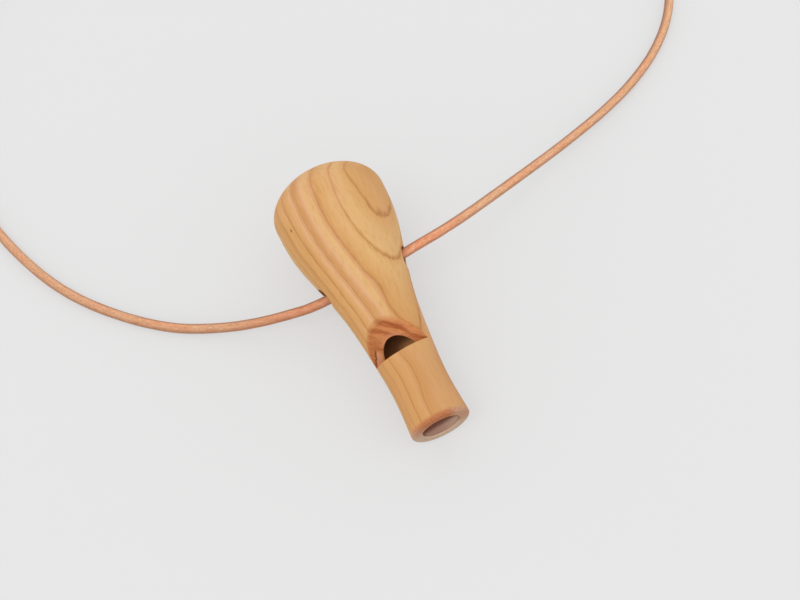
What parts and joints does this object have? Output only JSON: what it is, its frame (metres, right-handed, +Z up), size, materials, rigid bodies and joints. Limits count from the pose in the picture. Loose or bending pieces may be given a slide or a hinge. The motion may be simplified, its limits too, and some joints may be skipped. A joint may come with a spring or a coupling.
{
  "type": "bird call",
  "caption": "Pear-shaped turned wooden bird call, a fipple whistle with a notched voicing window and a blunt bulb end, on a leather neck lace through a cross hole.",
  "frame": {"origin": "on the table the call lies on, below the middle of the wooden whistle's length and width", "axes": "+Z up from the table; +X along the whistle from its mouth to its bulb; +Y to the side of the lace's left leg. The lathe axis lies in the XZ plane, tilted up towards the bulb by the resting angle, and the whistle is rolled so that its window faces up and a little towards +Y"},
  "size_m": [0.2137, 0.2334, 0.0338],
  "materials": {
    "turned_wood": "satin oiled hardwood with pinkish-brown growth bands",
    "block_wood": "plain end-grain dowel",
    "lace_leather": "salmon-tan round leather lace"
  },
  "bodies": {
    "whistle": {"whistle_body": "turned_wood", "fipple_block": "block_wood"},
    "lace": {"lace_left_leg": "lace_leather", "lace_right_leg": "lace_leather", "lace_knot": "lace_leather"}
  },
  "joints": [
    {"name": "lace_swing", "type": "hinge", "parent": "whistle", "child": "lace", "pos_m": [0.00713, 0, 0.01442], "axis": [-0.0299, -0.9681, 0.2486], "continuous": true}
  ]
}
